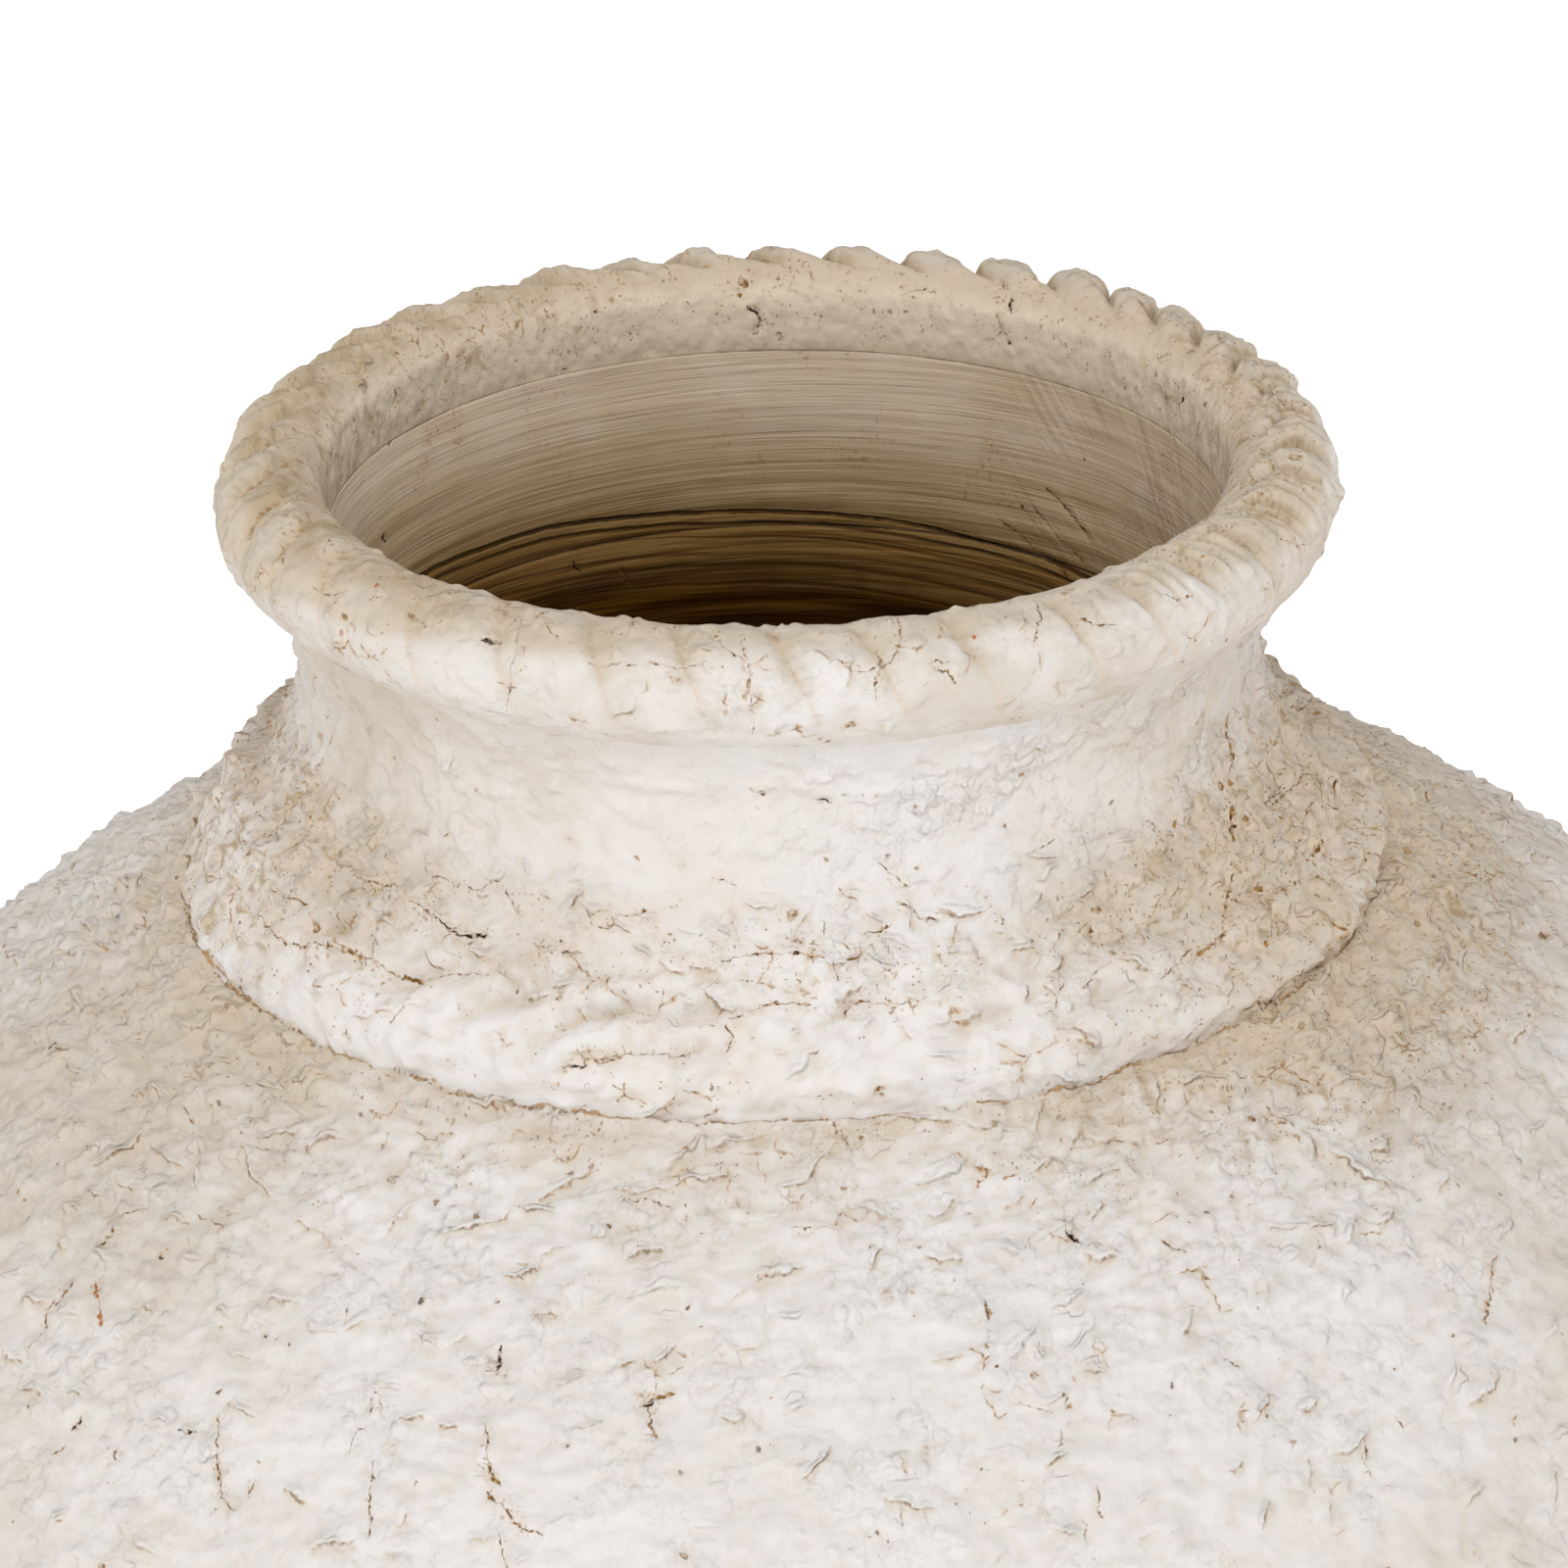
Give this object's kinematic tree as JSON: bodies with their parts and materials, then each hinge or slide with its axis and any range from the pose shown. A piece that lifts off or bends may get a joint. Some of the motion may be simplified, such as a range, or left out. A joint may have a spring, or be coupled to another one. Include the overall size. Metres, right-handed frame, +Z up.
{
  "type": "terracotta vase",
  "caption": "Large round-shouldered terracotta jar with a short flared neck, a rope-pressed lip, a pressed collar and a chalky white wash.",
  "frame": {"origin": "centre of the flat underside of the foot", "axes": "+Z up through the mouth; -Y faces the viewer of the picture, +X to that viewer's right"},
  "size_m": [0.4882, 0.4896, 0.5],
  "materials": {
    "washed_body": "matte, lumpy and chalky, with brown stain in the cracks",
    "washed_neck": "matte, lumpy and chalky, with brown stain in the cracks",
    "washed_lip": "matte and chalky, rubbed to beige on top"
  },
  "bodies": {
    "root": {"base_slab": "washed_body", "lower_body": "washed_body", "upper_body": "washed_body", "neck": "washed_neck", "collar_coil": "washed_neck", "lip_coil": "washed_lip"}
  },
  "joints": []
}
